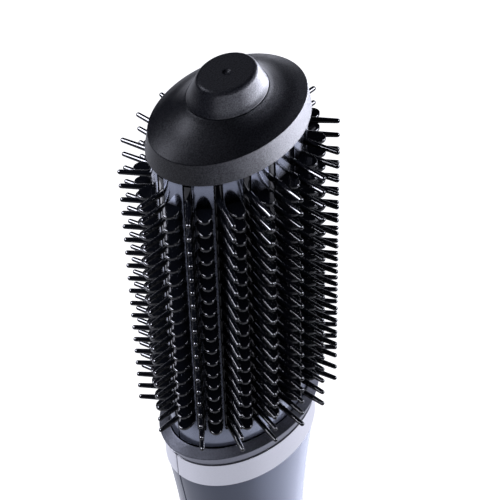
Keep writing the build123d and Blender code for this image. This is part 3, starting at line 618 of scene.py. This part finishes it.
def barrel_plate(name, first):
    """Half of the pierced metal barrel, with slots open at the top and a window for each paddle."""
    start, end = first * PITCH, (first + COLUMNS // 2) * PITCH
    corners = [(start + SEAM_GAP / 2, PLATE_BOTTOM), (start + SEAM_GAP / 2, SLOT_BOTTOM)]
    corners += slot_side(start, 1)
    for i in range(1, COLUMNS // 2):
        at = start + i * PITCH
        corners += slot_side(at, -1)[::-1] + slot_side(at, 1)
    corners += slot_side(end, -1)[::-1]
    corners += [(end - SEAM_GAP / 2, SLOT_BOTTOM), (end - SEAM_GAP / 2, PLATE_BOTTOM)]
    holes = []
    for i in range(COLUMNS // 2):
        for h in TONGUE_HEIGHTS:
            holes.append(rounded_box(start + (i + 0.5) * PITCH, h, TONGUE_WIDTH + WINDOW_CLEAR,
                                     TONGUE_THICK + WINDOW_CLEAR, WINDOW_CORNER))
        for h in PIN_HEIGHTS[1:-1:2]:
            holes.append(circle(start + (i + AIR_HOLE_SHARE) * PITCH, h, AIR_HOLE_R, 16))
    verts, faces, corner_normals = shell(barrel_surface, dense_loop(corners, 1.3), holes, PLATE_WALL, 0.16,
                                         (1.3, 2.6))
    add_piece(name + "_skin", verts, faces, "barrel_metal", [name], corner_normals)


barrel_plate("barrel_plate_rear", 0)
barrel_plate("barrel_plate_front", COLUMNS // 2)


# ---------------------------------------------------------------- end cap and cool tip
DOME_OVALS = ((0.0, 28.1, 19.3), (1.8, 24.2, 17.1), (3.8, 19.4, 14.3), (5.7, 16.0, 12.4), (7.3, 13.9, 11.2))
BAND_TOP = CAP_BOTTOM + 7.9
KNOB_BOTTOM = BAND_TOP + DOME_OVALS[-1][0]
KNOB_OVALS = ((0.25, 13.7, 11.0), (1.7, 12.9, 10.2), (4.2, 11.8, 9.2), (6.9, 10.5, 8.1), (8.0, 8.8, 6.6))


def cap():
    """The cap: a plain band, a smooth dome and a flat seat for the cool tip."""
    band = [(27.3, 18.0, CAP_BOTTOM - 1.6), (27.3, 18.0, CAP_BOTTOM), (29.1, 20.8, CAP_BOTTOM),
            (28.1, 19.3, BAND_TOP)]
    dome = smooth_through([(a, b, BAND_TOP + h) for h, a, b in DOME_OVALS], 8)
    inside_run = [(a - 1.8, b - 1.8, z - 1.9) for a, b, z in dome[4::4]]
    outer = soften(band + dome[3:], 0.28, 4)
    hub = [(3.2, 3.2, KNOB_BOTTOM), (3.2, 3.2, CAP_BOTTOM + 5.0), (4.6, 4.6, CAP_BOTTOM + 5.0),
           (4.6, 4.6, KNOB_BOTTOM - 1.9)]
    skirt = [(26.4, 17.1, CAP_BOTTOM + 5.4), (26.4, 17.1, CAP_BOTTOM), (24.9, 15.6, CAP_BOTTOM),
             (24.9, 15.6, CAP_BOTTOM - 1.6)]
    verts, faces = oval_stack(outer + hub + inside_run[::-1] + skirt, 160, closed=True)
    add_piece("cap_dome", verts, faces, "cap_black", ["end_cap"])


def knob():
    """The cool tip: an oval knob with a rounded top edge and a dimple at its centre."""
    ovals = [(a, b, KNOB_BOTTOM + h) for h, a, b in KNOB_OVALS]
    top = ovals[-1][2]
    side = smooth_through(ovals[:-1], 6)
    rim = [(10.05, 7.65, top - 0.5), (9.4, 7.15, top - 0.12), (8.4, 6.3, top)]
    dimple = [(1.75, 1.62, top), (1.42, 1.38, top - 0.05)]
    dimple += [(1.6 * sin(t), 1.6 * sin(t), top + 0.9 - 1.6 * cos(t)) for t in (0.85, 0.65, 0.45, 0.22)]
    run = [(2.9, 2.9, CAP_BOTTOM + 5.2), (2.9, 2.9, KNOB_BOTTOM + 0.25)]
    run += soften([(13.2, 10.5, KNOB_BOTTOM + 0.25)] + side + rim, 0.25, 2) + dimple + [(0, 0, top - 0.7)]
    verts, faces = oval_stack([(0, 0, CAP_BOTTOM + 5.2)] + run, 144)
    add_piece("tip_knob", verts, faces, "cap_black", ["cool_tip"], sharp=50)


cap()
knob()


# ---------------------------------------------------------------- collar and trim ring
def collar():
    """The flared collar at the barrel's foot."""
    foot, edge, mouth = RING_TOP + 0.4, RING_BOTTOM + 17.7, RING_BOTTOM + 20.0
    run = [(28.9, 19.6, PLATE_BOTTOM - 1.5), (28.9, 19.6, foot), (30.3, 21.2, foot), (32.4, 22.4, edge),
           (28.9, 19.6, mouth), (28.62, 19.32, mouth), (28.62, 19.32, mouth - 4.0),
           (28.45, 19.15, mouth - 4.0), (28.45, 19.15, PLATE_BOTTOM - 0.1), (23.2, 13.9, PLATE_BOTTOM - 0.1),
           (23.2, 13.9, PLATE_BOTTOM - 1.5)]
    verts, faces = oval_stack(soften(run, 0.4, 4, closed=True), 160, closed=True)
    add_piece("collar_flare", verts, faces, "collar_grey", ["barrel_collar"])


FLAT = 25.0     # mm of flat pattern to a radian of turn


def band_surface(half_widths):
    """surface(u, v, depth) of an oval skin whose half widths depend on height."""
    def surface(u, v, depth):
        a, b = half_widths(v)
        t = u / FLAT
        point = Vector((a * cos(t), b * sin(t), v))
        if not depth:
            return point
        e = 0.05
        a2, b2 = half_widths(v + e)
        along = Vector((-a * sin(t), b * cos(t), 0))
        up = Vector(((a2 - a) * cos(t), (b2 - b) * sin(t), e))
        return point - along.cross(up).normalized() * depth
    return surface


def half_outline(half_widths, low, high, side, spacing=1.2):
    """Flat outline of a half skin whose long edges keep to the seam gap."""
    heights = np.linspace(low, high, max(3, round((high - low) / spacing)))

    def off(v):
        return asin(SEAM_GAP / 2 / half_widths(v)[1]) * FLAT

    base = 0.0 if side > 0 else pi * FLAT
    right = [(base + off(v), v) for v in heights]
    left = [(base + pi * FLAT - off(v), v) for v in heights[::-1]]
    count = round((left[0][0] - right[-1][0]) / spacing)
    top = [(right[-1][0] + (left[0][0] - right[-1][0]) * i / count, high) for i in range(1, count)]
    bottom = [(left[-1][0] + (right[0][0] - left[-1][0]) * i / count, low) for i in range(1, count)]
    return right + top + left + bottom


def ring_oval(z):
    share = (z - RING_BOTTOM - 0.3) / (RING_TOP - RING_BOTTOM - 0.3)
    return 30.2 + 0.3 * share, 21.9 - 0.4 * share


for name, side in (("trim_ring_rear", 1), ("trim_ring_front", -1)):
    outline = half_outline(ring_oval, RING_BOTTOM + 0.3, RING_TOP, side, 1.0)
    verts, faces, corner_normals = shell(band_surface(ring_oval), outline, [], 1.0, 0.35, (1.2, 2.0))
    add_piece(name + "_skin", verts, faces, "satin_silver", [name], corner_normals)


# ---------------------------------------------------------------- handle
def grip_at(z):
    return handle_oval(RING_BOTTOM - z)


grip_surface = band_surface(grip_at)
SCREW_SPOTS = ((RING_BOTTOM - 30.0, 19.0, 9.0), (RING_BOTTOM - 30.0, -19.0, 9.0),
               (RING_BOTTOM - 119.0, 17.6, 6.4), (RING_BOTTOM - 119.0, -17.6, 6.4))
SWITCH_Z, BUTTON_Z, LAMP_Z = RING_BOTTOM - 100.0, RING_BOTTOM - 72.0, RING_BOTTOM - 121.0


def on_face(loop, side):
    """Flat-pattern points of an (x, z) loop cut straight through the front or rear face."""
    made = []
    for x, z in loop:
        t = np.arccos(min(max(x / grip_at(z)[0], -1), 1))
        made.append((float(t if side > 0 else 2 * pi - t) * FLAT, z))
    return made


for name, side in (("handle_rear", 1), ("handle_front", -1)):
    outline = half_outline(grip_at, HANDLE_BOTTOM, RING_BOTTOM, side, 1.6)
    if side > 0:
        holes = [on_face(circle(x, z, 2.5), side) for z, x, _ in SCREW_SPOTS]
    else:
        slot_edge = dense_loop(rounded_box(0, SWITCH_Z, 6.6, 24.0, 1.2, 5), 1.2)
        holes = [on_face(slot_edge, side), on_face(circle(0, BUTTON_Z, 4.5, 48), side),
                 on_face(circle(0, LAMP_Z, 1.2, 24), side)]
    verts, faces, corner_normals = shell(grip_surface, outline, holes, SHELL_WALL, 0.3, (1.7, 2.4))
    add_piece(name + "_skin", verts, faces, "handle_gunmetal", [name], corner_normals)
    a, b = grip_at(HANDLE_BOTTOM)
    a, b = a - 1.7, b - 1.7
    turn = asin(SEAM_GAP / 2 / b)
    run = [(a - 2.3, b - 2.3, HANDLE_BOTTOM + 6), (a, b, HANDLE_BOTTOM + 6), (a, b, HANDLE_BOTTOM - 6),
           (a - 2.3, b - 2.3, HANDLE_BOTTOM - 6)]
    base = 0.0 if side > 0 else pi
    verts, faces = oval_stack(soften(run, 0.4, 3, closed=True), 72, base + turn, base + pi - turn,
                              closed=True)
    add_piece(name + "_spigot", verts, faces, "handle_gunmetal")

for i, (z, x, seat) in enumerate(SCREW_SPOTS):
    a, b = grip_at(z)
    reach = b * sqrt(1 - ((abs(x) + 3.1) / a) ** 2) - 0.7
    well = [(seat, 1.3), (seat, 2.5), (reach, 2.5), (reach, 3.1), (seat - 1.2, 3.1), (seat - 1.2, 1.3),
            (seat, 1.3)]
    verts, faces = lathe(well, (x, 0, z), (0, 1, 0), 32)
    add_piece(f"screw_well_{i + 1}", verts, faces, "handle_gunmetal", sharp=30)
collar()


# ---------------------------------------------------------------- button spring
def button_spring():
    """A coil of three turns behind the cool button."""
    low, high = node_box("button_spring")
    middle = (low + high) / 2
    wire, turns, steps, sides = 0.3, 3, 32, 10
    radius = (high.z - low.z) / 2 - wire
    start, end = low.y + wire, high.y - wire
    verts, faces = [], []
    for i in range(turns * steps + 1):
        share = i / (turns * steps)
        angle = 2 * pi * turns * share
        out = Vector((cos(angle), 0, sin(angle)))
        centre = Vector((middle.x, start + (end - start) * share, middle.z)) + out * radius
        verts += [centre + (out * cos(t) + Vector((0, sin(t), 0))) * wire
                  for t in np.linspace(0, 2 * pi, sides + 1)[:-1]]
    for i in range(turns * steps):
        for j in range(sides):
            here, after = i * sides + j, i * sides + (j + 1) % sides
            faces.append((here, after, after + sides, here + sides))
    faces.append(tuple(range(sides - 1, -1, -1)))
    faces.append(tuple(range(len(verts) - sides, len(verts))))
    piece = add_piece("button_coil", verts, faces, "bright_steel", ["button_spring"])
    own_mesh(piece)


button_spring()


# ---------------------------------------------------------------- CAD pieces that keep their shape
for subpart in frame["record"]["subparts"]:
    node = nodes[subpart["node"]]
    for holder in node.material_slots:
        holder.material = MATERIALS[subpart["material_slot"]]


# ---------------------------------------------------------------- camera
AZIMUTH, ELEVATION, ROLL = radians(-41.89), radians(48.66), radians(-1.84)
DISTANCE, LENS = 0.7192, 159.3
level = Vector((cos(AZIMUTH), sin(AZIMUTH), 0))
back = Vector((sin(AZIMUTH) * cos(ELEVATION), -cos(AZIMUTH) * cos(ELEVATION), sin(ELEVATION)))
upright = back.cross(level)
right = cos(ROLL) * level + sin(ROLL) * upright
up = cos(ROLL) * upright - sin(ROLL) * level
AIM = Vector((0, 0, 0.20014)) + right * 0.00523 + up * 0.000237


def make_camera():
    """The camera, at the photograph's angle."""
    place = AIM + back * DISTANCE
    data = bpy.data.cameras.new("camera")
    data.lens = LENS
    data.sensor_width = 36
    data.dof.use_dof = False
    camera = bpy.data.objects.new("camera", data)
    camera.matrix_world = Matrix((
        (right.x, up.x, back.x, place.x), (right.y, up.y, back.y, place.y),
        (right.z, up.z, back.z, place.z), (0, 0, 0, 1)))
    bpy.context.scene.collection.objects.link(camera)
    bpy.context.scene.camera = camera


make_camera()


# ---------------------------------------------------------------- studio
HEAD = Vector((0, 0, 0.19))


def softbox(name, azimuth, elevation, distance, width, height, power, lit=None):
    """A rectangular soft light, placed by its direction from the head, and kept to one group if given."""
    a, e = radians(azimuth), radians(elevation)
    way = Vector((sin(a) * cos(e), -cos(a) * cos(e), sin(e)))
    data = bpy.data.lights.new(name, "AREA")
    data.shape = "RECTANGLE"
    data.size, data.size_y = width, height
    data.energy = power
    data.color = (0.93, 0.95, 1.10)
    lamp = bpy.data.objects.new(name, data)
    lamp.location = HEAD + way * distance
    lamp.rotation_mode = "QUATERNION"
    lamp.rotation_quaternion = (-way).to_track_quat("-Z", "Y")
    bpy.context.scene.collection.objects.link(lamp)
    if lit:
        lamp.light_linking.receiver_collection = lit


world = bpy.data.worlds.new("studio")
world.use_nodes = True
world.node_tree.nodes["Background"].inputs["Color"].default_value = (1, 1, 1, 1)
world.node_tree.nodes["Background"].inputs["Strength"].default_value = 1.0
bpy.context.scene.world = world
bpy.context.scene.view_settings.view_transform = "Standard"
world.cycles_visibility.glossy = False
world.cycles_visibility.diffuse = False

FLOOR_DROP = 35     # mm, so that the pulled filter cover stays above it
floor_mesh = bpy.data.meshes.new("floor")
floor_mesh.from_pydata([(-3, -3, 0), (3, -3, 0), (3, 3, 0), (-3, 3, 0)], [], [(0, 1, 2, 3)])
floor = bpy.data.objects.new("floor", floor_mesh)
floor.location = (0, 0, (TAIL - FLOOR_DROP) * MM)
bpy.context.scene.collection.objects.link(floor)
pale, _, pale_shader = new_material("pale_floor")
pale_shader.inputs["Base Color"].default_value = (0.9, 0.9, 0.9, 1)
pale_shader.inputs["Roughness"].default_value = 0.7
pale_shader.inputs["Emission Color"].default_value = (1, 1, 1, 1)
pale_shader.inputs["Emission Strength"].default_value = 1.0
floor_mesh.materials.append(pale)
floor.visible_glossy = False
floor.visible_diffuse = False
floor.visible_shadow = False


def card(name, points, stops):
    """A glowing sheet seen only in reflections; its tone changes with direction round the object."""
    mesh = bpy.data.meshes.new(name)
    mesh.from_pydata(points, [], [tuple(range(len(points)))])
    sheet = bpy.data.objects.new(name, mesh)
    bpy.context.scene.collection.objects.link(sheet)
    glow = bpy.data.materials.new(name)
    glow.use_nodes = True
    tree = glow.node_tree
    tree.nodes.clear()
    where = tree.nodes.new("ShaderNodeTexCoord")
    turn = tree.nodes.new("ShaderNodeTexGradient")
    turn.gradient_type = "RADIAL"
    tree.links.new(where.outputs["Object"], turn.inputs["Vector"])
    ramp = tree.nodes.new("ShaderNodeValToRGB")
    ramp.color_ramp.interpolation = "EASE"
    while len(ramp.color_ramp.elements) < len(stops):
        ramp.color_ramp.elements.new(0.5)
    for element, (azimuth, tone) in zip(ramp.color_ramp.elements, stops):
        element.position = azimuth
        element.color = (tone * 0.96, tone * 0.98, tone * 1.12, 1)
    tree.links.new(turn.outputs["Fac"], ramp.inputs["Fac"])
    light = tree.nodes.new("ShaderNodeEmission")
    light.inputs["Strength"].default_value = 1.0
    tree.links.new(ramp.outputs["Color"], light.inputs["Color"])
    out = tree.nodes.new("ShaderNodeOutputMaterial")
    tree.links.new(light.outputs["Emission"], out.inputs["Surface"])
    mesh.materials.append(glow)
    sheet.visible_camera = False
    sheet.visible_diffuse = False
    sheet.visible_shadow = False
    sheet.visible_transmission = False


TABLE_HALF, TABLE_Z = 1.5, -0.1345
card("reflected_table",
     [(x * TABLE_HALF, y * TABLE_HALF, TABLE_Z) for x, y in ((-1, -1), (1, -1), (1, 1), (-1, 1))],
     [(0.0, 0.57), (0.134, 0.50), (0.22, 0.50), (0.32, 0.67), (0.47, 0.88), (0.64, 0.98), (0.80, 0.76),
      (0.92, 0.62)])


def group(name, members):
    """A set of pieces that one light is kept to."""
    made = bpy.data.collections.new(name)
    for member in members:
        made.objects.link(bpy.data.objects[member])
    return made


head = group("head_side", ["cap_dome", "tip_knob", "barrel_plate_front_skin", "barrel_plate_rear_skin"])
grip = group("grip_side", ["handle_front_skin", "handle_rear_skin"])
bristles = group("bristle_lights", [f"bristles_{k + 1:02d}" for k in range(COLUMNS)])
flare, top = group("collar_fill", ["collar_flare"]), group("cap_fill", ["cap_dome", "tip_knob"])
tip = group("knob_fill", ["tip_knob"])

softbox("side_wall", 64, -38, 0.7, 1.1, 0.8, 55, head)
softbox("low_side", 64, -42, 0.8, 0.7, 0.6, 24, grip)
softbox("pin_left", -126, 46, 1.0, 0.75, 0.6, 50, bristles)
softbox("pin_right", 45, 34, 1.0, 0.42, 0.5, 26, bristles)
softbox("fill_collar", -60, 62, 1.0, 1.0, 1.0, 1.2, flare)
softbox("fill_cap", -60, 62, 1.0, 1.0, 1.0, 0.6, top)
softbox("fill_top", 138, 50, 1.0, 0.8, 0.8, 0.6, top)
softbox("fill_back", 115, -18, 0.9, 0.6, 0.5, 3.2, top)
softbox("knob_front", -25, 2, 0.9, 1.0, 0.4, 3.0, tip)
softbox("key", -142, 52, 1.0, 0.18, 0.32, 2.6)
softbox("right_wall", 80, -5, 0.9, 0.4, 0.4, 1.5)
